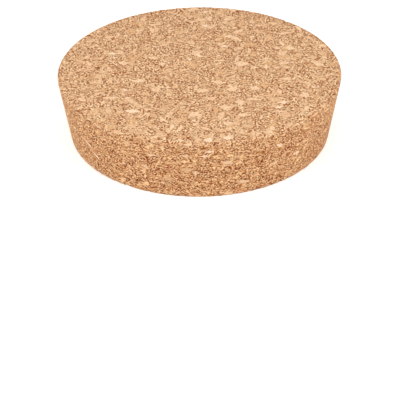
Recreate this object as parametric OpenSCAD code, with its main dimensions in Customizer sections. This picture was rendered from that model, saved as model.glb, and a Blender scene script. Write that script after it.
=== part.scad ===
// Tapered stopper that plugs the neck of a wide jar, turned from one block of pressed cork granules.
// It stands on its narrow face. The origin is the middle of that face, and +Z runs up the axis.

/* [Body] */
// Diameter of the wide face, measured to where the side would meet it without the rounding
wide_d = 108; // [60:1:160]
// Diameter of the narrow face, measured in the same way
narrow_d = 100; // [55:1:155]
// Height from the narrow face to the wide face
height = 25; // [10:1:60]

/* [Edges] */
// Radius that softens the edge of the wide face
wide_edge_r = 0.4; // [0.2:0.1:3]
// Radius that softens the edge of the narrow face
narrow_edge_r = 0.5; // [0.2:0.1:3]

/* [Hidden] */
$fn = 180;

// Slope of the side away from the axis, positive where the stopper widens upwards
taper = atan2((wide_d - narrow_d) / 2, height);

// How far the centre of an edge's arc lies inside the sharp corner, where the face and the side
// meet at 90 degrees less the given lean.
function arc_inset(radius, lean) = radius * tan(45 + lean / 2);

// Half section of the body: its straight sides run between the points where the arcs touch them.
module half_section() {
    wide_centre = [wide_d / 2 - arc_inset(wide_edge_r, taper), height - wide_edge_r];
    narrow_centre = [narrow_d / 2 - arc_inset(narrow_edge_r, -taper), narrow_edge_r];
    outward = [cos(taper), -sin(taper)];

    polygon([
        [0, 0],
        [narrow_centre.x, 0],
        narrow_centre + narrow_edge_r * outward,
        wide_centre + wide_edge_r * outward,
        [wide_centre.x, height],
        [0, height],
    ]);
    translate(narrow_centre) circle(narrow_edge_r);
    translate(wide_centre) circle(wide_edge_r);
}

module stopper() {
    color("tan") rotate_extrude() half_section();
}

stopper();
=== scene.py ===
"""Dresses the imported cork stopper: pressed granules, seams, open pores, worn edges and a pale studio."""

import logging
import math
from collections.abc import Mapping
from dataclasses import dataclass, field
from enum import Enum
from typing import Union

import bpy
import numpy as np
from mathutils import Matrix, Vector


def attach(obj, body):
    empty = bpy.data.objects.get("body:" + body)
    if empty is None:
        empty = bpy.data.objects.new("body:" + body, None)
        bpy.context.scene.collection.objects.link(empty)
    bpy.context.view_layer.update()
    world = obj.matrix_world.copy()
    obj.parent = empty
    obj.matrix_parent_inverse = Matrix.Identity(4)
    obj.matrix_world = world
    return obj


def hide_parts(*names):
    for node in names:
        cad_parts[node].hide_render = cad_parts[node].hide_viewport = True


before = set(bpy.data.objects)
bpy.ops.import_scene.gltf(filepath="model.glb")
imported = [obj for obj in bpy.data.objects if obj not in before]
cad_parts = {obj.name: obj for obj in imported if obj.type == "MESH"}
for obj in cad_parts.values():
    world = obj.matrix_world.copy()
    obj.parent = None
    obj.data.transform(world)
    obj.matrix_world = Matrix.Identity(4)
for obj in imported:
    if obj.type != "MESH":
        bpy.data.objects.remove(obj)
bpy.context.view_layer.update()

MM = 0.001
LOG = logging.getLogger("cork_stopper")

Colour = tuple[float, float, float]
Socket = bpy.types.NodeSocket
Feed = Union[Socket, float, tuple[float, ...]]


class TreeKind(Enum):
    """The kinds of node tree that the cork's pattern is built in."""

    SHADER = "ShaderNodeTree"
    GEOMETRY = "GeometryNodeTree"


class Look(Enum):
    """What a mark that shows singly looks like, by its colour. A dent has none of its own."""

    WHITE = (0.93, 0.70, 0.50)
    PALE = (0.84, 0.585, 0.37)
    TAN = (0.73, 0.44, 0.24)
    RUST = (0.42, 0.15, 0.06)
    # A hole's near-black: the dark walls of the hollow, with painted shade in it.
    HOLE = (0.18, 0.045, 0.01)
    DENT = None


@dataclass(frozen=True)
class Mark:
    """One chip or hole that shows singly, where a line of sight through the frame meets the cork."""

    column: float  # where it shows, in pixels from the left edge of a frame 400 pixels wide
    row: float  # the same from the top edge
    length: float  # mm
    width: float  # mm
    look: Look
    turn: float = 0.0  # how its length is turned from level, degrees anticlockwise from outside
    depth: float = 0.6  # how deep a hole or dent goes, mm


WIDE_FACE_CHIPS = (
    Mark(column=113, row=53.7, length=5.2, width=1.8, look=Look.WHITE, turn=-4),
    Mark(column=138, row=81, length=7.4, width=3.4, look=Look.PALE, turn=3),
    Mark(column=155, row=46.5, length=3.8, width=1.6, look=Look.PALE),
    Mark(column=165, row=55, length=4.4, width=1.8, look=Look.PALE, turn=14),
    Mark(column=162, row=64, length=3.2, width=3.2, look=Look.PALE, turn=30),
    Mark(column=189.5, row=59.3, length=2.8, width=1.9, look=Look.WHITE),
    Mark(column=199.5, row=56, length=3.0, width=1.6, look=Look.WHITE, turn=-14),
    Mark(column=205.5, row=25.8, length=3.9, width=2.0, look=Look.WHITE, turn=-6),
    Mark(column=205, row=12, length=4.4, width=2.2, look=Look.PALE, turn=24),
    Mark(column=235, row=38, length=8.4, width=2.8, look=Look.PALE, turn=-42),
    Mark(column=228, row=36, length=5.6, width=2.2, look=Look.PALE, turn=20),
    Mark(column=225, row=46, length=6.0, width=2.0, look=Look.WHITE),
    Mark(column=241, row=63.5, length=7.0, width=5.4, look=Look.PALE, turn=-10),
    Mark(column=282.5, row=33.5, length=2.2, width=1.5, look=Look.WHITE, turn=-30),
    Mark(column=290, row=48, length=5.6, width=4.0, look=Look.PALE, turn=-12),
    Mark(column=277, row=48, length=2.6, width=1.8, look=Look.WHITE, turn=-10),
    Mark(column=218, row=82, length=6.8, width=3.2, look=Look.PALE, turn=-14),
    Mark(column=232.5, row=89, length=6.2, width=3.6, look=Look.PALE, turn=8),
    Mark(column=254.5, row=88, length=4.6, width=4.6, look=Look.PALE, turn=-24),
    Mark(column=203, row=90.5, length=5.6, width=3.0, look=Look.PALE, turn=-8),
    Mark(column=266, row=66.5, length=3.4, width=4.2, look=Look.PALE),
    Mark(column=305, row=95, length=4.6, width=4.4, look=Look.PALE, turn=6),
    Mark(column=283, row=102, length=5.6, width=2.2, look=Look.WHITE, turn=4),
    Mark(column=279, row=107, length=3.6, width=2.4, look=Look.WHITE, turn=20),
    Mark(column=240, row=102, length=4.2, width=5.2, look=Look.PALE, turn=10),
    Mark(column=224.5, row=107, length=5.6, width=3.4, look=Look.PALE),
    Mark(column=131.5, row=111, length=6.6, width=3.2, look=Look.WHITE, turn=-8),
    Mark(column=124, row=63, length=4.2, width=4.2, look=Look.PALE),
    Mark(column=109, row=98, length=5.2, width=1.8, look=Look.PALE, turn=6),
    Mark(column=194, row=114, length=5.6, width=4.6, look=Look.PALE, turn=46),
    Mark(column=243, row=115, length=5.8, width=2.8, look=Look.PALE, turn=4),
    Mark(column=228, row=138, length=3.9, width=3.6, look=Look.WHITE),
    Mark(column=208.5, row=140, length=3.9, width=4.6, look=Look.WHITE, turn=-24),
    Mark(column=176, row=121, length=4.6, width=6.4, look=Look.TAN, turn=10),
    Mark(column=228, row=123, length=5.2, width=3.6, look=Look.PALE),
    Mark(column=272.5, row=128, length=2.4, width=4.2, look=Look.PALE, turn=20),
    Mark(column=124.5, row=90, length=2.8, width=1.8, look=Look.WHITE),
    Mark(column=285.5, row=114, length=4.6, width=7.0, look=Look.TAN),
    Mark(column=132, row=125, length=5.2, width=4.4, look=Look.TAN),
    Mark(column=266, row=58.7, length=2.6, width=2.2, look=Look.PALE),
    Mark(column=313.5, row=87, length=2.4, width=1.6, look=Look.WHITE),
    Mark(column=321.5, row=53, length=4.0, width=3.0, look=Look.TAN),
    Mark(column=180, row=140.5, length=4.0, width=2.4, look=Look.PALE),
    Mark(column=127, row=143.5, length=3.8, width=3.0, look=Look.TAN),
)
SIDE_CHIPS = (
    Mark(column=96.5, row=156, length=4.6, width=1.6, look=Look.WHITE, turn=-22),
    Mark(column=87, row=142.5, length=8.8, width=1.6, look=Look.PALE, turn=-22),
    Mark(column=98, row=126.5, length=5.6, width=1.1, look=Look.PALE, turn=-14),
    Mark(column=205, row=156.5, length=4.4, width=1.5, look=Look.WHITE, turn=-4),
    Mark(column=209, row=151.8, length=4.8, width=1.4, look=Look.WHITE, turn=8),
    Mark(column=228, row=162.5, length=4.8, width=2.0, look=Look.PALE, turn=-14),
    Mark(column=274, row=163, length=3.8, width=1.4, look=Look.PALE),
    Mark(column=145, row=166.5, length=4.2, width=1.1, look=Look.PALE, turn=-33),
    Mark(column=154, row=155.5, length=5.0, width=1.2, look=Look.PALE, turn=8),
    Mark(column=186, row=156, length=4.8, width=1.7, look=Look.PALE),
    Mark(column=196, row=173, length=3.4, width=1.6, look=Look.PALE),
    Mark(column=162, row=148, length=2.4, width=1.2, look=Look.PALE),
    Mark(column=188, row=144.8, length=3.6, width=1.5, look=Look.PALE),
    Mark(column=130, row=170.5, length=3.0, width=0.9, look=Look.PALE, turn=-25),
    Mark(column=163.5, row=183, length=2.8, width=0.9, look=Look.PALE, turn=-35),
    Mark(column=280, row=145, length=4.4, width=1.5, look=Look.WHITE, turn=-18),
    Mark(column=296.5, row=153, length=3.8, width=1.8, look=Look.WHITE),
    Mark(column=228, row=144.6, length=2.8, width=1.3, look=Look.PALE),
    Mark(column=243, row=181.5, length=5.6, width=2.0, look=Look.PALE),
    Mark(column=124, row=163, length=1.9, width=1.1, look=Look.WHITE),
    Mark(column=167, row=178, length=4.2, width=3.4, look=Look.TAN),
    Mark(column=186, row=170, length=5.0, width=3.0, look=Look.TAN),
    Mark(column=267, row=144.6, length=3.4, width=2.2, look=Look.TAN),
)
WIDE_FACE_SPOTS = (
    Mark(column=184, row=33.5, length=2.0, width=2.6, look=Look.RUST),
    Mark(column=158, row=78.5, length=1.3, width=2.2, look=Look.RUST, turn=-30),
    Mark(column=97.5, row=67.3, length=1.9, width=1.5, look=Look.HOLE, turn=-20),
    Mark(column=135, row=84.2, length=1.4, width=0.7, look=Look.HOLE),
    Mark(column=237, row=45.5, length=2.8, width=0.8, look=Look.HOLE, turn=-12),
    Mark(column=250.5, row=47.5, length=0.9, width=0.9, look=Look.HOLE),
    Mark(column=259, row=51.3, length=0.9, width=0.8, look=Look.HOLE),
    Mark(column=316, row=74, length=1.3, width=1.3, look=Look.HOLE, turn=-20),
    Mark(column=334, row=94, length=1.4, width=1.6, look=Look.HOLE),
    Mark(column=309.5, row=102, length=1.9, width=1.9, look=Look.RUST),
)
SIDE_HOLES = (
    Mark(column=89.5, row=121.5, length=1.0, width=1.2, look=Look.HOLE),
    Mark(column=126.5, row=138.5, length=1.0, width=1.2, look=Look.HOLE),
    Mark(column=130.8, row=139.5, length=1.0, width=0.8, look=Look.HOLE),
    Mark(column=93, row=137, length=1.0, width=0.9, look=Look.HOLE),
    Mark(column=112.5, row=150.7, length=0.9, width=0.9, look=Look.HOLE),
    Mark(column=149, row=153.5, length=1.3, width=0.9, look=Look.HOLE, turn=-20),
    Mark(column=214, row=145, length=1.2, width=0.7, look=Look.HOLE, turn=-60),
    Mark(column=236.5, row=168.5, length=1.6, width=0.6, look=Look.HOLE, turn=10),
    Mark(column=226, row=173.5, length=0.8, width=1.3, look=Look.HOLE),
    Mark(column=260, row=179, length=0.8, width=0.7, look=Look.HOLE),
    Mark(column=300, row=167, length=0.8, width=0.9, look=Look.HOLE),
    Mark(column=128.5, row=179, length=0.6, width=0.9, look=Look.HOLE),
    Mark(column=204.5, row=175.5, length=0.7, width=0.8, look=Look.HOLE),
)
WORN_EDGES = (
    Mark(column=286, row=21.5, length=1.6, width=3.0, look=Look.DENT, depth=0.8),
    Mark(column=237, row=11.4, length=1.4, width=1.8, look=Look.HOLE),
    Mark(column=89.5, row=35.3, length=1.4, width=1.6, look=Look.HOLE),
    Mark(column=116, row=181.0, length=2.0, width=1.4, look=Look.DENT, depth=0.5),
    Mark(column=128.5, row=185.6, length=6.0, width=1.8, look=Look.DENT, depth=0.75),
    Mark(column=148, row=191.2, length=2.6, width=1.4, look=Look.DENT, depth=0.5),
    Mark(column=258, row=188.6, length=3.6, width=1.4, look=Look.DENT, depth=0.5),
    Mark(column=271, row=184.6, length=3.0, width=1.6, look=Look.DENT, depth=0.6),
    Mark(column=280.5, row=181.0, length=3.6, width=1.6, look=Look.DENT, depth=0.65),
)
MARKS = WIDE_FACE_CHIPS + SIDE_CHIPS + WIDE_FACE_SPOTS + SIDE_HOLES + WORN_EDGES


@dataclass(frozen=True)
class Seat:
    """Where a mark lies on the body: its middle in millimetres, and its axes in the rows of a matrix."""

    middle: Vector
    axes: Matrix
    mark: Mark

    def reach(self, depth: float) -> tuple[float, float, float]:
        """Gives the inverse of how far the mark reaches along each axis, in 1/mm, where depth is the last."""
        return 2 / self.mark.length, 2 / self.mark.width, 1 / depth


class Wiring:
    """Adds and joins nodes in one tree, in the same words for a shader and for a geometry tree."""

    # The Mix node's sockets for colours, by number, because its sockets for other types have the same names.
    MIX_FACTOR, MIX_FIRST, MIX_SECOND = 0, 6, 7
    MIX_RESULT = 2

    def __init__(self, tree: bpy.types.NodeTree) -> None:
        """Keeps the tree that the nodes go into."""
        self.tree = tree

    def node(
        self, kind: str, inputs: Mapping[str | int, Feed] | None = None, **settings: object
    ) -> bpy.types.Node:
        """Adds one node.

        Args:
            kind: Blender's name for the node's type.
            inputs: What each input, by its name or number, is set to or joined to.
            **settings: Properties of the node, such as its operation.

        Returns:
            The new node.
        """
        made = self.tree.nodes.new(kind)
        for name, value in settings.items():
            setattr(made, name, value)
        for name, value in (inputs or {}).items():
            self.feed(made.inputs[name], value)
        return made

    def feed(self, socket: Socket, value: Feed) -> None:
        """Joins a socket to another, or sets it to a value.

        Args:
            socket: The input socket.
            value: The output socket that it is joined to, or its constant value.
        """
        if isinstance(value, bpy.types.NodeSocket):
            self.tree.links.new(value, socket)
        else:
            socket.default_value = value

    def math(self, operation: str, *values: Feed) -> Socket:
        """Adds a Math node on one to three values.

        Args:
            operation: The node's operation, such as MULTIPLY.
            *values: Its inputs in order.

        Returns:
            The result's socket.
        """
        made = self.node("ShaderNodeMath", operation=operation)
        for socket, value in zip(made.inputs, values):
            self.feed(socket, value)
        return made.outputs[0]

    def vector(self, operation: str, *values: Feed) -> Socket:
        """Adds a Vector Math node.

        Args:
            operation: The node's operation, such as MULTIPLY_ADD.
            *values: Its inputs in order.

        Returns:
            The socket of its vector result.
        """
        made = self.node("ShaderNodeVectorMath", operation=operation)
        for socket, value in zip(made.inputs, values):
            self.feed(socket, value)
        return made.outputs["Vector"]

    def dot(self, first: Feed, second: Feed) -> Socket:
        """Adds up the products of two vectors' parts and returns the number's socket."""
        made = self.node("ShaderNodeVectorMath", {0: first, 1: second}, operation="DOT_PRODUCT")
        return made.outputs["Value"]

    def ramp(self, value: Feed, low: float, high: float, to_low: float = 0.0, to_high: float = 1.0) -> Socket:
        """Carries a value smoothly from one range to another.

        Args:
            value: The value to carry over.
            low: Where the result starts to change.
            high: Where the result stops changing.
            to_low: The result at and before low.
            to_high: The result at and after high.

        Returns:
            The result's socket.
        """
        inputs = {"Value": value, "From Min": low, "From Max": high, "To Min": to_low, "To Max": to_high}
        made = self.node("ShaderNodeMapRange", inputs, interpolation_type="SMOOTHSTEP")
        return made.outputs["Result"]

    def mix(self, factor: Feed, first: Feed, second: Feed) -> Socket:
        """Blends two numbers.

        Args:
            factor: How far the result lies from the first towards the second, from 0 to 1.
            first: The first number.
            second: The second number.

        Returns:
            The result's socket.
        """
        return self.math("ADD", first, self.math("MULTIPLY", factor, self.math("SUBTRACT", second, first)))

    def blend(self, factor: Feed, first: Feed, second: Feed, how: str = "MIX") -> Socket:
        """Blends two colours.

        Args:
            factor: How much of the second colour shows, from 0 to 1.
            first: The colour underneath.
            second: The colour on top.
            how: The blend type, such as MULTIPLY.

        Returns:
            The colour's socket.
        """
        made = self.node("ShaderNodeMix", data_type="RGBA", blend_type=how)
        for index, value in ((self.MIX_FACTOR, factor), (self.MIX_FIRST, first), (self.MIX_SECOND, second)):
            self.feed(made.inputs[index], value)
        return made.outputs[self.MIX_RESULT]

    def noise(self, place: Feed, size: float, detail: float = 2.0) -> bpy.types.Node:
        """Adds soft noise.

        Args:
            place: Where it is read.
            size: The length of its largest waves, in the same unit as the place.
            detail: How many finer layers lie on it.

        Returns:
            The noise node, which puts out Fac and Color.
        """
        return self.node("ShaderNodeTexNoise", {"Vector": place, "Scale": 1 / size, "Detail": detail})

    def cells(self, place: Feed, size: float, feature: str = "F1") -> bpy.types.Node:
        """Adds a pattern of random cells.

        Args:
            place: Where it is read.
            size: The cells' size, in the same unit as the place.
            feature: F1, or DISTANCE_TO_EDGE.

        Returns:
            The cells' node, whose Distance is counted in cell sizes.
        """
        return self.node("ShaderNodeTexVoronoi", {"Vector": place, "Scale": 1 / size}, feature=feature)


@dataclass(frozen=True)
class Grade:
    """One grade of granule in the mix."""

    size: float  # typical length, mm
    slim: float  # its length over its width
    bunch: float  # size of the patches in which neighbours lie the same way, mm
    share: float  # how much of the room left by coarser grades it fills, 0 to 1
    tone: float  # tone of its darkest granules, where 0 is bark brown and 1 is cream
    lift: float  # how much lighter its few palest granules are
    seam: float  # width of the dark line round a granule, dark glue with painted shade, mm
    speckle: float  # how strongly the fine grain shows on it, 0 to 1
    spread: float = 0.0  # how unevenly it shows from one granule to the next


@dataclass(frozen=True)
class PressedCork:
    """Ground cork pressed into a block: flat granules of several grades in glue, with pores between them."""

    name: str = "pressed_cork"
    flattening: float = 3.3  # how many times wider than thick the granules lie
    grades: tuple[Grade, ...] = (
        Grade(size=5.6, slim=1.7, bunch=9.0, share=0.05, tone=0.45, lift=0.10, seam=0.24, speckle=0.18),
        Grade(size=4.2, slim=2.3, bunch=6.0, share=0.22, tone=0.42, lift=0.28, seam=0.29, speckle=0.12),
        Grade(size=2.5, slim=2.6, bunch=3.0, share=0.37, tone=0.40, lift=0.33, seam=0.27, speckle=0.18,
              spread=0.8),
        Grade(size=1.1, slim=2.2, bunch=1.7, share=1.0, tone=0.44, lift=0.06, seam=0.15, speckle=0.95,
              spread=1.2),
    )
    wander: float = 0.6  # how far the granules' outlines wander, mm
    wander_size: float = 5.0  # over what length they do, mm
    fray: float = 0.09  # how far the outlines fray, mm
    fray_size: float = 0.6  # over what length they do, mm
    seam_break_size: float = 0.7  # length of the stretches in which a seam stays dark or fades, mm
    seam_break: tuple[float, float] = (0.34, 0.5)  # noise at which a seam is gone, and at which it is whole
    seam_depth: float = 0.10  # mm
    seam_glue_and_shade_colour: Colour = (0.36, 0.13, 0.0)  # what a seam multiplies the cork's colour by: dark glue, and painted shade in the crevice
    # Cell of the fine grain, mm. Its odd number of layers over the height puts both faces mid-layer.
    grain: tuple[float, float, float] = (0.57, 0.57, 25 / 73)
    grain_wander: float = 1.0  # how far the grain's cells stray from their rows, 0 to 1
    grain_chance: float = 0.1  # how much of a cell's tone is chance, and not opposite to its neighbours'
    grain_tone: float = 2.2  # how far the tone differs from cell to cell
    grain_height: float = 0.03  # how much lower than its neighbours a granule lies at most, mm
    pore_gap: float = 4.5  # from one place for a pore to the next, mm
    pore_fray: float = 0.6  # how far a pore's outline frays, mm
    pore_chance: float = 0.4  # share of the places that have no pore
    pore_radius: float = 0.55  # of the widest pore, mm
    pore_rim: tuple[float, float] = (0.75, 1.1)  # where a pore starts to fade and ends, in radii
    pore_bowl: float = 1.1  # depth of a pore in radii
    pore_depth: float = 0.45  # the most that a pore goes down, mm
    mark_depth: float = 0.8  # how far into the body a mark shows, mm
    mark_cover: float = 0.74  # how much of the granules a chip hides
    mark_rim: tuple[float, float] = (0.9, 1.05)  # where a mark starts to fade and ends, in its reach
    ragged: float = 0.9  # how ragged a mark's outline is, mm
    ragged_size: float = 1.3  # over what length it is, mm
    flank_gain: float = 0.7  # how much stronger the tones differ on the side
    flank_shade_gamma: float = 1.26  # how much deeper the colours are on the side: partly stronger contrast of its granules, partly painted shade
    # Painted shade: the side is tinted darker and redder than the wide face, as if less light falls on it.
    flank_shade_tint: Colour = (1.0, 0.95, 0.92)
    specular: float = 0.2
    roughness: tuple[float, float] = (0.78, 0.95)  # of the granules, and inside pores
    bump_strength: float = 0.2
    bump_distance: float = 0.08  # mm
    bump_tone: float = 0.4  # how much a granule's tone adds to its bump, where a seam takes 1 away

    colours: tuple[tuple[float, Colour], ...] = (
        (0.0, (0.37, 0.09, 0.0)),
        (0.25, (0.55, 0.255, 0.08)),
        (0.5, (0.71, 0.42, 0.22)),
        (0.75, (0.85, 0.59, 0.37)),
        (1.0, (1.0, 0.77, 0.48)),
    )

    MID_GREY = (0.5, 0.5, 0.5)
    NEAR_ZERO = 0.001

    def pattern(self, kind: TreeKind) -> bpy.types.NodeTree:
        """Builds the granules' pattern as a node group, once for each kind of tree.

        Args:
            kind: The kind of tree that the group is for.

        Returns:
            The group, which reads a place in millimetres and puts out Tone, Seam, Pore and Sink.
        """
        name = f"{self.name}_pattern_{kind.name.lower()}"
        if name in bpy.data.node_groups:
            return bpy.data.node_groups[name]
        group = bpy.data.node_groups.new(name, kind.value)
        face = group.interface
        face.new_socket("Place", in_out="INPUT", socket_type="NodeSocketVector")
        for output in ("Tone", "Seam", "Pore", "Sink"):
            face.new_socket(output, in_out="OUTPUT", socket_type="NodeSocketFloat")
        w = Wiring(group)
        place = w.node("NodeGroupInput").outputs["Place"]
        out = w.node("NodeGroupOutput")

        flat = w.vector("MULTIPLY", place, (1.0, 1.0, self.flattening))
        wander = w.noise(flat, self.wander_size, detail=1.0).outputs["Color"]
        wander = w.vector("SUBTRACT", wander, self.MID_GREY)
        fray = w.noise(flat, self.fray_size, detail=1.0).outputs["Color"]
        fray = w.vector("SUBTRACT", fray, self.MID_GREY)
        bent = w.vector("MULTIPLY_ADD", wander, (2 * self.wander,) * 3, flat)
        bent = w.vector("MULTIPLY_ADD", fray, (2 * self.fray,) * 3, bent)

        tone: Feed = 0.5
        seam: Feed = 0.0
        filled: Feed = 0.0
        swell: Feed = 0.0
        speckle: Feed = 1.0
        for grade in self.grades:
            lie = w.node("ShaderNodeSeparateXYZ", {"Vector": w.cells(bent, grade.bunch).outputs["Color"]})
            turn = w.math("MULTIPLY", lie.outputs["X"], 2 * math.pi)
            laid = w.node("ShaderNodeVectorRotate", {"Vector": bent, "Angle": turn}, rotation_type="Z_AXIS")
            laid = w.vector("MULTIPLY", laid.outputs["Vector"], (1.0, grade.slim, 1.0))
            own = w.node("ShaderNodeSeparateXYZ", {"Vector": w.cells(laid, grade.size).outputs["Color"]})
            edge = w.cells(laid, grade.size, "DISTANCE_TO_EDGE").outputs["Distance"]
            here = w.math("LESS_THAN", own.outputs["X"], grade.share)
            here = w.math("MULTIPLY", here, w.math("SUBTRACT", 1.0, filled))
            shift = w.math("MULTIPLY_ADD", own.outputs["Y"], grade.lift, grade.tone)
            line = w.ramp(edge, 0.0, grade.seam / grade.size, to_low=1.0, to_high=0.0)
            tone = w.mix(here, tone, shift)
            seam = w.mix(here, seam, line)
            swell = w.mix(here, swell, own.outputs["Z"])
            spread = grade.spread * grade.speckle
            own_speckle = w.math("MULTIPLY_ADD", own.outputs["Z"], spread, grade.speckle - spread / 2)
            speckle = w.mix(here, speckle, own_speckle)
            filled = w.math("MAXIMUM", filled, here)
        broken = w.ramp(w.noise(flat, self.seam_break_size).outputs["Fac"], *self.seam_break)
        seam = w.math("MULTIPLY", seam, broken)
        middle = (0.0, 0.0, self.grain_wander / 2)
        lattice = w.vector("MULTIPLY_ADD", place, tuple(1 / side for side in self.grain), middle)
        grain = w.cells(lattice, 1.0)
        grain.inputs["Randomness"].default_value = self.grain_wander
        index = w.vector("FLOOR", grain.outputs["Position"])
        other = w.math("FLOORED_MODULO", w.dot(index, (1.0, 1.0, 1.0)), 2.0)
        chance = w.node("ShaderNodeSeparateXYZ", {"Vector": grain.outputs["Color"]}).outputs["X"]
        grain = w.math("SUBTRACT", w.mix(self.grain_chance, other, chance), 0.5)
        tone = w.math("ADD", tone, w.math("MULTIPLY", speckle, w.math("MULTIPLY", grain, self.grain_tone)))

        pore_cells = w.cells(w.vector("MULTIPLY_ADD", fray, (2 * self.pore_fray,) * 3, place), self.pore_gap)
        pore_own = w.node("ShaderNodeSeparateXYZ", {"Vector": pore_cells.outputs["Color"]})
        widest = self.pore_radius / self.pore_gap
        reach = w.ramp(pore_own.outputs["X"], self.pore_chance, 1.0, to_high=widest)
        share = w.math("DIVIDE", pore_cells.outputs["Distance"], w.math("MAXIMUM", reach, self.NEAR_ZERO))
        pore = w.ramp(share, *self.pore_rim, to_low=1.0, to_high=0.0)
        bowl = w.math("SUBTRACT", 1.0, w.math("MULTIPLY", share, share))
        bowl = w.math("SQRT", w.math("MAXIMUM", bowl, 0.0))
        pit = w.math("MULTIPLY", bowl, w.math("MULTIPLY", reach, self.pore_gap * self.pore_bowl))
        pit = w.math("MINIMUM", pit, self.pore_depth)

        step = w.math("MULTIPLY", w.math("SUBTRACT", 1.0, swell), self.grain_height)
        groove = w.math("MULTIPLY", seam, self.seam_depth)
        sink = w.math("ADD", w.math("MAXIMUM", pit, groove), step)

        for output, value in (("Tone", tone), ("Seam", seam), ("Pore", pore), ("Sink", sink)):
            w.feed(out.inputs[output], value)
        return group

    def marks(self, seats: list[Seat]) -> bpy.types.NodeTree:
        """Builds the chips and holes that show singly as a node group.

        Args:
            seats: Where they lie.

        Returns:
            The group, which reads a place in millimetres and puts out Color, Cover, which says where a chip
            hides the granules, and Pore.
        """
        group = bpy.data.node_groups.new(f"{self.name}_marks", TreeKind.SHADER.value)
        face = group.interface
        face.new_socket("Place", in_out="INPUT", socket_type="NodeSocketVector")
        face.new_socket("Color", in_out="OUTPUT", socket_type="NodeSocketColor")
        face.new_socket("Cover", in_out="OUTPUT", socket_type="NodeSocketFloat")
        face.new_socket("Pore", in_out="OUTPUT", socket_type="NodeSocketFloat")
        w = Wiring(group)
        place = w.node("NodeGroupInput").outputs["Place"]
        out = w.node("NodeGroupOutput")
        ragged = w.vector("SUBTRACT", w.noise(place, self.ragged_size).outputs["Color"], self.MID_GREY)
        ragged = w.vector("MULTIPLY_ADD", ragged, (self.ragged,) * 3, place)
        colour: Feed = (*Look.PALE.value, 1.0)
        cover: Feed = 0.0
        pore: Feed = 0.0
        for seat in seats:
            mark = seat.mark
            if mark.look is Look.DENT:
                continue
            away = w.vector("SUBTRACT", ragged, tuple(seat.middle))
            turned = {"Vector": away, "Rotation": tuple(seat.axes.to_euler("XYZ"))}
            local = w.node("ShaderNodeVectorRotate", turned, rotation_type="EULER_XYZ")
            local = w.vector("ABSOLUTE", local.outputs["Vector"])
            share = w.dot(local, seat.reach(self.mark_depth))
            here = w.ramp(share, *self.mark_rim, to_low=1.0, to_high=0.0)
            if mark.look is Look.HOLE:
                pore = w.math("MAXIMUM", pore, here)
            else:
                colour = w.blend(here, colour, (*mark.look.value, 1.0))
                cover = w.math("MAXIMUM", cover, here)
        w.feed(out.inputs["Color"], colour)
        w.feed(out.inputs["Cover"], cover)
        w.feed(out.inputs["Pore"], pore)
        return group

    def material(self, seats: list[Seat]) -> bpy.types.Material:
        """Makes the cork's material.

        Args:
            seats: Where the marks lie.

        Returns:
            The material.
        """
        made = bpy.data.materials.new(self.name)
        made.use_nodes = True
        w = Wiring(made.node_tree)
        shader = made.node_tree.nodes["Principled BSDF"]
        rest = w.node("ShaderNodeAttribute", attribute_name=Stopper.REST, attribute_type="GEOMETRY")
        flank = w.node("ShaderNodeAttribute", attribute_name=Stopper.FLANK, attribute_type="GEOMETRY")
        place = w.node("ShaderNodeVectorMath", {"Scale": 1 / MM}, operation="SCALE")
        w.feed(place.inputs["Vector"], rest.outputs["Vector"])
        pattern = w.node("ShaderNodeGroup", node_tree=self.pattern(TreeKind.SHADER))
        w.feed(pattern.inputs["Place"], place.outputs["Vector"])

        gain = w.math("MULTIPLY_ADD", flank.outputs["Fac"], self.flank_gain, 1.0)
        tone = w.math("MULTIPLY_ADD", w.math("SUBTRACT", pattern.outputs["Tone"], 0.5), gain, 0.5)
        marks = w.node("ShaderNodeGroup", node_tree=self.marks(seats))
        w.feed(marks.inputs["Place"], place.outputs["Vector"])
        cover = marks.outputs["Cover"]
        bare = w.math("SUBTRACT", 1.0, cover)
        seam = w.math("MULTIPLY", pattern.outputs["Seam"], bare)
        pore = w.math("MULTIPLY", pattern.outputs["Pore"], bare)
        pore = w.math("MAXIMUM", pore, marks.outputs["Pore"])
        ramp = w.node("ShaderNodeValToRGB", {"Fac": tone})
        stops = ramp.color_ramp.elements
        stops.remove(stops[-1])
        for position, colour in self.colours:
            stop = stops.new(position) if position else stops[0]
            stop.color = (*colour, 1.0)
        colour = ramp.outputs["Color"]
        # The seams' dark lines: the glue's own colour, partly painted shade in the crevices between granules.
        colour = w.blend(seam, colour, (*self.seam_glue_and_shade_colour, 1.0), "MULTIPLY")
        # Painted shade on the side, with stronger contrast: a gamma that deepens the side's colours, its
        # darks most.
        side_shade_gamma = w.math("MULTIPLY_ADD", flank.outputs["Fac"], self.flank_shade_gamma - 1.0, 1.0)
        colour = w.node("ShaderNodeGamma", {"Color": colour, "Gamma": side_shade_gamma}).outputs["Color"]
        # Painted shade on the side: a darker, redder tint than the wide face.
        colour = w.blend(flank.outputs["Fac"], colour, (*self.flank_shade_tint, 1.0), "MULTIPLY")
        colour = w.blend(w.math("MULTIPLY", cover, self.mark_cover), colour, marks.outputs["Color"])
        # Pores and holes take the hole's near-black: partly their dark walls, partly painted shade in the
        # hollow.
        colour = w.blend(pore, colour, (*Look.HOLE.value, 1.0))
        w.feed(shader.inputs["Base Color"], colour)
        w.feed(shader.inputs["Roughness"], w.ramp(pore, 0.0, 1.0, *self.roughness))
        shader.inputs["Specular IOR Level"].default_value = self.specular

        height = w.math("SUBTRACT", w.math("MULTIPLY", w.mix(cover, tone, 0.5), self.bump_tone), seam)
        depth = {"Strength": self.bump_strength, "Distance": self.bump_distance * MM}
        bump = w.node("ShaderNodeBump", {"Height": height, **depth})
        w.feed(shader.inputs["Normal"], bump.outputs["Normal"])
        return made

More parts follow.
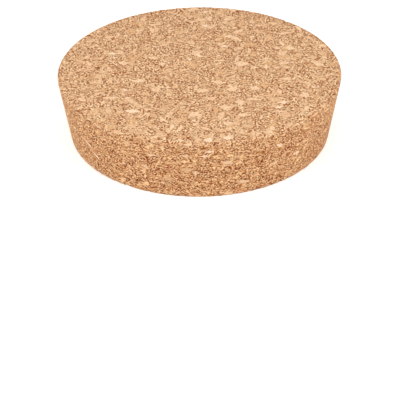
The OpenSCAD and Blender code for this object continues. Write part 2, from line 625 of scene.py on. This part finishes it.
    def gauge(self) -> bpy.types.NodeTree:
        """Makes the geometry nodes that write how far each point sinks, in millimetres.

        Returns:
            The node tree.
        """
        tree = bpy.data.node_groups.new(f"{self.name}_gauge", TreeKind.GEOMETRY.value)
        tree.interface.new_socket("Geometry", in_out="INPUT", socket_type="NodeSocketGeometry")
        tree.interface.new_socket("Geometry", in_out="OUTPUT", socket_type="NodeSocketGeometry")
        w = Wiring(tree)
        start = w.node("NodeGroupInput")
        end = w.node("NodeGroupOutput")
        place = w.node("GeometryNodeInputPosition").outputs["Position"]
        pattern = w.node("GeometryNodeGroup", node_tree=self.pattern(TreeKind.GEOMETRY))
        scaled = w.node("ShaderNodeVectorMath", {"Vector": place, "Scale": 1 / MM}, operation="SCALE")
        w.feed(pattern.inputs["Place"], scaled.outputs["Vector"])
        kept = {"data_type": "FLOAT", "domain": "POINT"}
        store = w.node("GeometryNodeStoreNamedAttribute", {"Name": Stopper.SINK}, **kept)
        w.feed(store.inputs["Geometry"], start.outputs["Geometry"])
        w.feed(store.inputs["Value"], pattern.outputs["Sink"])
        w.feed(end.inputs["Geometry"], store.outputs["Geometry"])
        return tree


@dataclass(frozen=True)
class Section:
    """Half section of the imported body, from the narrow face's edge up to the wide face's edge."""

    radii: np.ndarray  # m
    heights: np.ndarray  # m

    LEVEL_DIGITS = 6  # digits after the point, in metres, within which two heights are one

    @classmethod
    def of_node(cls, node: bpy.types.Object) -> "Section":
        """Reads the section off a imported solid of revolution.

        Args:
            node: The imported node's object.

        Returns:
            The section, in metres.
        """
        places = vertex_places(node.data)
        radii = np.hypot(places[:, 0], places[:, 1])
        levels = np.round(places[:, 2], cls.LEVEL_DIGITS)
        heights = np.unique(levels)
        widest = np.array([radii[levels == height].max() for height in heights])
        return cls(widest, heights)

    def along(self, count: int) -> "Section":
        """Gives the same section with evenly spaced points.

        Args:
            count: The number of steps between them.

        Returns:
            The new section.
        """
        lengths = np.hypot(np.diff(self.radii), np.diff(self.heights))
        ends = np.concatenate([[0.0], np.cumsum(lengths)])
        steps = np.linspace(0.0, ends[-1], count + 1)
        return Section(np.interp(steps, ends, self.radii), np.interp(steps, ends, self.heights))


def vertex_places(mesh: bpy.types.Mesh) -> np.ndarray:
    """Reads a mesh's vertex places.

    Args:
        mesh: The mesh.

    Returns:
        An array with a row for each vertex.
    """
    flat = np.empty(len(mesh.vertices) * 3, np.float32)
    mesh.vertices.foreach_get("co", flat)
    return flat.reshape(-1, 3).astype(float)


def attribute_values(mesh: bpy.types.Mesh, name: str) -> np.ndarray:
    """Reads a float attribute of a mesh's vertices.

    Args:
        mesh: The mesh.
        name: The attribute's name.

    Returns:
        An array with a number for each vertex.
    """
    found = np.empty(len(mesh.vertices), np.float32)
    mesh.attributes[name].data.foreach_get("value", found)
    return found.astype(float)


def mesh_of(name: str, places: np.ndarray, faces: np.ndarray) -> bpy.types.Mesh:
    """Makes a mesh of four-cornered faces.

    Args:
        name: The mesh's name.
        places: A row for each vertex.
        faces: A row of four vertex numbers for each face.

    Returns:
        The new mesh.
    """
    mesh = bpy.data.meshes.new(name)
    mesh.vertices.add(len(places))
    mesh.vertices.foreach_set("co", places.astype(np.float32).ravel())
    mesh.loops.add(faces.size)
    mesh.loops.foreach_set("vertex_index", faces.astype(np.int32).ravel())
    mesh.polygons.add(len(faces))
    mesh.polygons.foreach_set("loop_start", (np.arange(len(faces)) * 4).astype(np.int32))
    mesh.update(calc_edges=True)
    return mesh


def round_grid(steps: int) -> tuple[np.ndarray, np.ndarray]:
    """Lays a square grid over a disc of radius 1, with cells of nearly one size.

    Args:
        steps: The number of cells along each side of the square.

    Returns:
        The grid's points in the plane, and the numbers of those on the rim, anticlockwise.
    """
    line = np.linspace(-1.0, 1.0, steps + 1)
    across, up = np.meshgrid(line, line)
    wide = np.abs(across) >= np.abs(up)
    radius = np.where(wide, across, up)
    safe = np.where(radius == 0.0, 1.0, radius)
    turn = np.where(wide, math.pi / 4 * up / safe, math.pi / 2 - math.pi / 4 * across / safe)
    points = np.stack([radius * np.cos(turn), radius * np.sin(turn)], -1).reshape(-1, 2)
    number = np.arange((steps + 1) ** 2).reshape(steps + 1, steps + 1)
    rim = np.concatenate([number[0, :-1], number[:-1, -1], number[-1, :0:-1], number[:0:-1, 0]])
    return points, rim


def grid_faces(rows: np.ndarray) -> np.ndarray:
    """Returns the faces between the rows of a grid of vertex numbers, anticlockwise."""
    return np.stack([rows[:-1, :-1], rows[:-1, 1:], rows[1:, 1:], rows[1:, :-1]], -1).reshape(-1, 4)


@dataclass(frozen=True)
class BakeSheet:
    """The square sheet on which the surface is laid out flat for baking, in millimetres."""

    name: str = "OFBake"
    side: float = 173.0
    wide_face: tuple[float, float] = (55.5, 55.5)  # its middle
    narrow_face: tuple[float, float] = (143.0, 32.0)  # its middle
    narrow_scale: float = 0.6
    strips: tuple[float, float] = (112.5, 141.0)  # how high the front and the back strip lie


@dataclass
class Stopper:
    """The whole stopper: one turned block whose surface sinks into seams and pores."""

    node_name: str = "stopper"
    cork: PressedCork = field(default_factory=PressedCork)
    face_steps: int = 400
    side_steps: int = 100
    triangles: int = 190_000
    edge_blend: float = 2.5 * MM  # within what distance of an edge the relief turns to the other surface
    marks: tuple[Mark, ...] = MARKS
    hole_reach: float = 1.3  # where a hole's slope ends, as a share of its reach
    sheet: BakeSheet = BakeSheet()
    halvings: int = 40  # steps in which a line of sight is cut down to where it meets the side
    lean_between: tuple[float, float] = (0.3, 0.7)  # shares of the height between which the side is straight

    REST = "rest_place"
    FLANK = "flank"
    SINK = "sink"
    NEAR_AXIS = 1e-9

    def __post_init__(self) -> None:
        """Reads the body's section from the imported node."""
        self.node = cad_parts[self.node_name]
        self.section = Section.of_node(self.node)

    def blank(self) -> bpy.types.Mesh:
        """Makes the smooth closed body, finely divided, before any relief.

        Returns:
            Its mesh: a round grid for each face, and rings between their rims.
        """
        disc, rim = round_grid(self.face_steps)
        number = np.arange(len(disc)).reshape(self.face_steps + 1, -1)
        section = self.section.along(self.side_steps)
        top = np.column_stack([disc * section.radii[-1], np.full(len(disc), section.heights[-1])])
        foot = np.column_stack([disc * section.radii[0], np.full(len(disc), section.heights[0])])
        between = [
            np.column_stack([disc[rim] * radius, np.full(len(rim), height)])
            for radius, height in zip(section.radii[1:-1], section.heights[1:-1])
        ]
        places = np.concatenate([top, foot, *between])
        first = 2 * len(disc)
        rings = [rim + len(disc)]
        rings += [first + step * len(rim) + np.arange(len(rim)) for step in range(self.side_steps - 1)]
        rings += [rim]
        side = np.array(rings)
        side = np.concatenate([side, side[:, :1]], 1)
        faces = [grid_faces(number), grid_faces(number + len(disc))[:, ::-1], grid_faces(side)]
        return mesh_of(self.node_name, places, np.concatenate(faces))

    def inward(self, places: np.ndarray) -> np.ndarray:
        """Gives the way that each point sinks, which turns gently from the faces to the side.

        Args:
            places: The points of the smooth body.

        Returns:
            A unit vector for each point.
        """
        low, high = self.section.heights[0], self.section.heights[-1]
        radius = np.hypot(places[:, 0], places[:, 1])
        limit = np.interp(places[:, 2], self.section.heights, self.section.radii)
        to_side = np.clip(1 - (limit - radius) / self.edge_blend, 0, 1)
        to_top = np.clip(1 - (high - places[:, 2]) / self.edge_blend, 0, 1)
        to_foot = np.clip(1 - (places[:, 2] - low) / self.edge_blend, 0, 1)
        outward = np.zeros_like(places)
        outward[:, :2] = places[:, :2] / np.maximum(radius, self.NEAR_AXIS)[:, None] * to_side[:, None]
        outward[:, 2] = to_top - to_foot
        return -outward / np.linalg.norm(outward, axis=1)[:, None]

    def carved(self, mesh: bpy.types.Mesh, seats: list[Seat]) -> bpy.types.Mesh:
        """Sinks the smooth body's surface by the cork's own pattern and thins out what stays flat.

        Args:
            mesh: The smooth body.
            seats: Where the marks lie, of which the holes and dents are sunk too.

        Returns:
            A new mesh with the relief, within the count of triangles.
        """
        held = bpy.data.objects.new("blank", mesh)
        bpy.context.scene.collection.objects.link(held)
        places = vertex_places(mesh)
        gauge = held.modifiers.new("gauge", "NODES")
        gauge.node_group = self.cork.gauge()
        sink = attribute_values(self.evaluated(held), self.SINK)
        held.modifiers.clear()
        rest = mesh.attributes.new(self.REST, "FLOAT_VECTOR", "POINT")
        rest.data.foreach_set("vector", places.astype(np.float32).ravel())
        inward = self.inward(places)
        sink = np.maximum(sink, self.holes(places, seats))
        flank = mesh.attributes.new(self.FLANK, "FLOAT", "POINT")
        flank.data.foreach_set("value", (1 - np.abs(inward[:, 2])).astype(np.float32))
        moved = places + inward * (sink * MM)[:, None]
        mesh.vertices.foreach_set("co", moved.astype(np.float32).ravel())
        mesh.update()
        thin = held.modifiers.new("thin", "DECIMATE")
        thin.ratio = self.triangles / (2 * len(mesh.polygons))
        carved = self.evaluated(held)
        bpy.data.objects.remove(held)
        self.kept_inside(carved)
        self.lay_out(carved)
        return carved

    def holes(self, places: np.ndarray, seats: list[Seat]) -> np.ndarray:
        """Gives how far each point sinks into the single holes and dents.

        Args:
            places: The points of the smooth body.
            seats: Where the marks lie.

        Returns:
            How far each point sinks, in millimetres.
        """
        sink = np.zeros(len(places))
        for seat in seats:
            if seat.mark.look in (Look.HOLE, Look.DENT):
                away = np.abs((places / MM - np.array(seat.middle)) @ np.array(seat.axes).T)
                share = away @ np.array(seat.reach(self.cork.mark_depth))
                sink = np.maximum(sink, seat.mark.depth * np.clip(self.hole_reach - share, 0, 1))
        return sink

    def kept_inside(self, mesh: bpy.types.Mesh) -> None:
        """Moves points that the thinning pushed out of the smooth body back onto it.

        Args:
            mesh: The thinned mesh, which is changed.
        """
        places = vertex_places(mesh)
        places[:, 2] = np.clip(places[:, 2], self.section.heights[0], self.section.heights[-1])
        radius = np.hypot(places[:, 0], places[:, 1])
        limit = np.interp(places[:, 2], self.section.heights, self.section.radii)
        places[:, :2] *= np.minimum(1.0, limit / np.maximum(radius, self.NEAR_AXIS))[:, None]
        mesh.vertices.foreach_set("co", places.astype(np.float32).ravel())
        mesh.update()

    def lay_out(self, mesh: bpy.types.Mesh) -> None:
        """Lays the surface out flat for baking: each face as a disc, and the side as two strips.

        Args:
            mesh: The mesh, which gets the flat map.
        """
        sheet = self.sheet
        rest = np.empty(len(mesh.vertices) * 3, np.float32)
        mesh.attributes[self.REST].data.foreach_get("vector", rest)
        corner = np.empty(len(mesh.loops), np.int32)
        mesh.loops.foreach_get("vertex_index", corner)
        counts = np.empty(len(mesh.polygons), np.int32)
        mesh.polygons.foreach_get("loop_total", counts)
        starts = np.concatenate([[0], np.cumsum(counts)[:-1]])
        places = rest.reshape(-1, 3)[corner].astype(float)
        centres = np.add.reduceat(places, starts) / counts[:, None]
        upright = np.repeat(-self.inward(centres)[:, 2], counts)
        far_half = np.repeat(centres[:, 1] > 0, counts)
        places /= MM
        turned = np.arctan2(places[:, 1], places[:, 0]) - np.where(far_half, math.pi / 2, -math.pi / 2)
        turned = (turned + math.pi) % (2 * math.pi) - math.pi
        along = sheet.side / 2 + turned * self.section.radii.max() / MM
        side = np.column_stack([along, np.where(far_half, *sheet.strips) + places[:, 2]])
        wide = places[:, :2] + sheet.wide_face
        narrow = places[:, :2] * (-sheet.narrow_scale, sheet.narrow_scale) + sheet.narrow_face
        halfway = math.sqrt(0.5)
        flat = np.where((upright < -halfway)[:, None], narrow, side)
        flat = np.where((upright > halfway)[:, None], wide, flat)
        layer = mesh.uv_layers.new(name=sheet.name)
        layer.uv.foreach_set("vector", (flat / sheet.side).astype(np.float32).ravel())

    @staticmethod
    def evaluated(held: bpy.types.Object) -> bpy.types.Mesh:
        """Returns a new mesh of an object with its modifiers applied."""
        graph = bpy.context.evaluated_depsgraph_get()
        return bpy.data.meshes.new_from_object(held.evaluated_get(graph))

    def seat(self, mark: Mark, studio: "Studio") -> Seat:
        """Finds where a mark lies on the smooth body.

        Args:
            mark: The mark.
            studio: The studio, whose camera gives the line of sight.

        Returns:
            The mark's seat.
        """
        eye, ahead = studio.sight(mark.column, mark.row)
        high, rim = self.section.heights[-1], self.section.radii.max()
        spot = eye + ahead * ((high - eye.z) / ahead.z)
        outward = Vector((0.0, 0.0, 1.0))
        level = Vector((1.0, 0.0, 0.0))
        if spot.xy.length > rim:
            lean = math.radians(self.lean())
            low, high = 0.0, -eye.xy.dot(ahead.xy) / ahead.xy.length_squared
            for _ in range(self.halvings):
                middle = (low + high) / 2
                spot = eye + ahead * middle
                inside = spot.xy.length < np.interp(spot.z, self.section.heights, self.section.radii)
                low, high = (low, middle) if inside else (middle, high)
            around = spot.xy.normalized()
            outward = Vector((around.x * math.cos(lean), around.y * math.cos(lean), -math.sin(lean)))
            level = Vector((-around.y, around.x, 0.0))
        up = outward.cross(level)
        turn = math.radians(mark.turn)
        along = math.cos(turn) * level + math.sin(turn) * up
        axes = Matrix((along, outward.cross(along), outward))
        return Seat(spot / MM, axes, mark)

    def lean(self) -> float:
        """Measures how far the side leans outwards.

        Returns:
            The angle in degrees.
        """
        middle = np.interp(self.lean_between, [0, 1], [self.section.heights[0], self.section.heights[-1]])
        radii = np.interp(middle, self.section.heights, self.section.radii)
        return math.degrees(math.atan2(radii[1] - radii[0], middle[1] - middle[0]))

    def build(self, studio: "Studio") -> bpy.types.Object:
        """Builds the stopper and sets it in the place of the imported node.

        Args:
            studio: The studio that it is seen in.

        Returns:
            The stopper's object.
        """
        seats = [self.seat(mark, studio) for mark in self.marks]
        mesh = self.carved(self.blank(), seats)
        mesh.shade_smooth()
        mesh.materials.clear()
        mesh.materials.append(self.cork.material(seats))
        body = bpy.data.objects.new("cork_body", mesh)
        bpy.context.scene.collection.objects.link(body)
        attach(body, "root")
        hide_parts(self.node_name)
        return body


@dataclass(frozen=True)
class Studio:
    """A white floor under soft, even light, and the camera that looks down on the wide face."""

    middle: float = 12.5 * MM  # height of the point that the camera circles
    distance: float = 0.574  # of the camera from it, m
    elevation: float = 29.74  # of the camera above it, degrees
    aim_below: float = 3.908  # how far below it the camera aims, degrees
    aim_aside: float = -0.022  # how far to the right of it, degrees
    roll: float = -0.52  # degrees anticlockwise
    focal_pixels: float = 1485.7
    frame_pixels: float = 400.0
    sensor: float = 36.0  # mm
    near_clip: float = 0.01  # m
    floor_side: float = 12.0  # m
    floor_grey: float = 0.8  # what the floor sends back onto the stopper
    floor_lift: float = 0.26  # what lifts the floor to white where the camera sees it
    sky: float = 0.74
    lamp_turns: tuple[float, float] = (-58.0, 58.0)  # degrees to the right of the camera
    lamp_rise: float = 33.0  # degrees
    lamp_distance: float = 0.9  # m
    lamp_side: float = 0.5  # m
    lamp_power: float = 3.3  # W

    WHITE = (1.0, 1.0, 1.0, 1.0)
    BLACK = (0.0, 0.0, 0.0, 1.0)

    def view(self) -> tuple[Vector, Matrix]:
        """Works out where the camera stands, aimed below the stopper, which shows in the frame's upper half.

        Returns:
            Its place, and its axes to the right, up and ahead in the rows of a matrix.
        """
        rise, turn = math.radians(self.elevation), math.radians(self.roll)
        down, aside = math.radians(self.aim_below), math.radians(self.aim_aside)
        ahead = Vector((0.0, math.cos(rise), -math.sin(rise)))
        place = Vector((0.0, 0.0, self.middle)) - ahead * self.distance
        right = Vector((1.0, 0.0, 0.0))
        up = right.cross(ahead)
        ahead, up = self.swung(ahead, up, down)
        right, ahead = self.swung(right, ahead, aside)
        up, right = self.swung(up, right, turn)
        return place, Matrix((right, up, ahead))

    @staticmethod
    def swung(first: Vector, second: Vector, angle: float) -> tuple[Vector, Vector]:
        """Turns two axes at right angles in their own plane.

        Args:
            first: The first axis, which turns away from the second.
            second: The second axis, which turns towards the first.
            angle: The angle in radians.

        Returns:
            The two axes after the turn.
        """
        near, aside = math.cos(angle), math.sin(angle)
        return near * first - aside * second, near * second + aside * first

    def sight(self, column: float, row: float) -> tuple[Vector, Vector]:
        """Gives the line of sight through a point of the frame.

        Args:
            column: The point's distance from the frame's left edge, in pixels.
            row: Its distance from the top edge.

        Returns:
            The camera's place and the line's direction.
        """
        place, (right, up, ahead) = self.view()
        middle = self.frame_pixels / 2
        line = ahead * self.focal_pixels + right * (column - middle) + up * (middle - row)
        return place, line.normalized()

    def camera(self) -> bpy.types.Object:
        """Sets the camera and makes it the scene's own.

        Returns:
            The camera's object.
        """
        place, (right, up, ahead) = self.view()
        lens = bpy.data.cameras.new("camera")
        lens.sensor_width = self.sensor
        lens.lens = self.focal_pixels / self.frame_pixels * self.sensor
        lens.clip_start = self.near_clip
        made = bpy.data.objects.new("camera", lens)
        axes = Matrix((right, up, -ahead)).transposed().to_4x4()
        made.matrix_world = Matrix.Translation(place) @ axes
        bpy.context.scene.collection.objects.link(made)
        bpy.context.scene.camera = made
        return made

    def floor(self) -> bpy.types.Object:
        """Lays the white floor that keeps the stopper's soft shadow.

        Returns:
            The floor's object.
        """
        half = self.floor_side / 2
        mesh = bpy.data.meshes.new("floor")
        corners = [(-half, -half, 0), (half, -half, 0), (half, half, 0), (-half, half, 0)]
        mesh.from_pydata(corners, [], [(0, 1, 2, 3)])
        finish = bpy.data.materials.new("white_floor")
        finish.use_nodes = True
        w = Wiring(finish.node_tree)
        shader = finish.node_tree.nodes["Principled BSDF"]
        seen = w.node("ShaderNodeLightPath").outputs["Is Camera Ray"]
        grey = (self.floor_grey,) * 3 + (1.0,)
        w.feed(shader.inputs["Base Color"], w.blend(seen, grey, self.WHITE))
        shader.inputs["Emission Strength"].default_value = self.floor_lift
        w.feed(shader.inputs["Emission Color"], w.blend(seen, self.BLACK, self.WHITE))
        shader.inputs["Roughness"].default_value = 1.0
        shader.inputs["Specular IOR Level"].default_value = 0.0
        mesh.materials.append(finish)
        made = bpy.data.objects.new("floor", mesh)
        bpy.context.scene.collection.objects.link(made)
        return made

    def sky_light(self) -> None:
        """Lights the scene evenly from all round, and shows plain white behind the floor."""
        world = bpy.data.worlds.new("studio")
        bpy.context.scene.world = world
        world.use_nodes = True
        w = Wiring(world.node_tree)
        background = world.node_tree.nodes["Background"]
        background.inputs["Color"].default_value = self.WHITE
        seen = w.node("ShaderNodeLightPath").outputs["Is Camera Ray"]
        w.feed(background.inputs["Strength"], w.mix(seen, self.sky, 1.0))

    def softbox(self, turn: float) -> bpy.types.Object:
        """Hangs one broad lamp in front of the stopper, aimed at it.

        Args:
            turn: How far round from the camera's side it hangs, in degrees, to the right of it.

        Returns:
            The lamp's object.
        """
        side, rise = math.radians(turn), math.radians(self.lamp_rise)
        away = Vector((math.sin(side) * math.cos(rise), -math.cos(side) * math.cos(rise), math.sin(rise)))
        lamp = bpy.data.lights.new("softbox", "AREA")
        lamp.size = self.lamp_side
        lamp.energy = self.lamp_power
        made = bpy.data.objects.new("softbox", lamp)
        made.location = away * self.lamp_distance
        made.rotation_euler = away.to_track_quat("Z", "Y").to_euler()
        bpy.context.scene.collection.objects.link(made)
        return made

    def build(self) -> None:
        """Builds the studio."""
        self.camera()
        self.floor()
        self.sky_light()
        for turn in self.lamp_turns:
            self.softbox(turn)
        bpy.context.scene.view_settings.view_transform = "Standard"


def main() -> None:
    """Builds the studio and the stopper."""
    logging.basicConfig(level=logging.INFO, format="%(message)s")
    studio = Studio()
    studio.build()
    body = Stopper().build(studio)
    LOG.info("%s: %d faces, %d vertices", body.name, len(body.data.polygons), len(body.data.vertices))


if __name__ == "__main__":
    main()
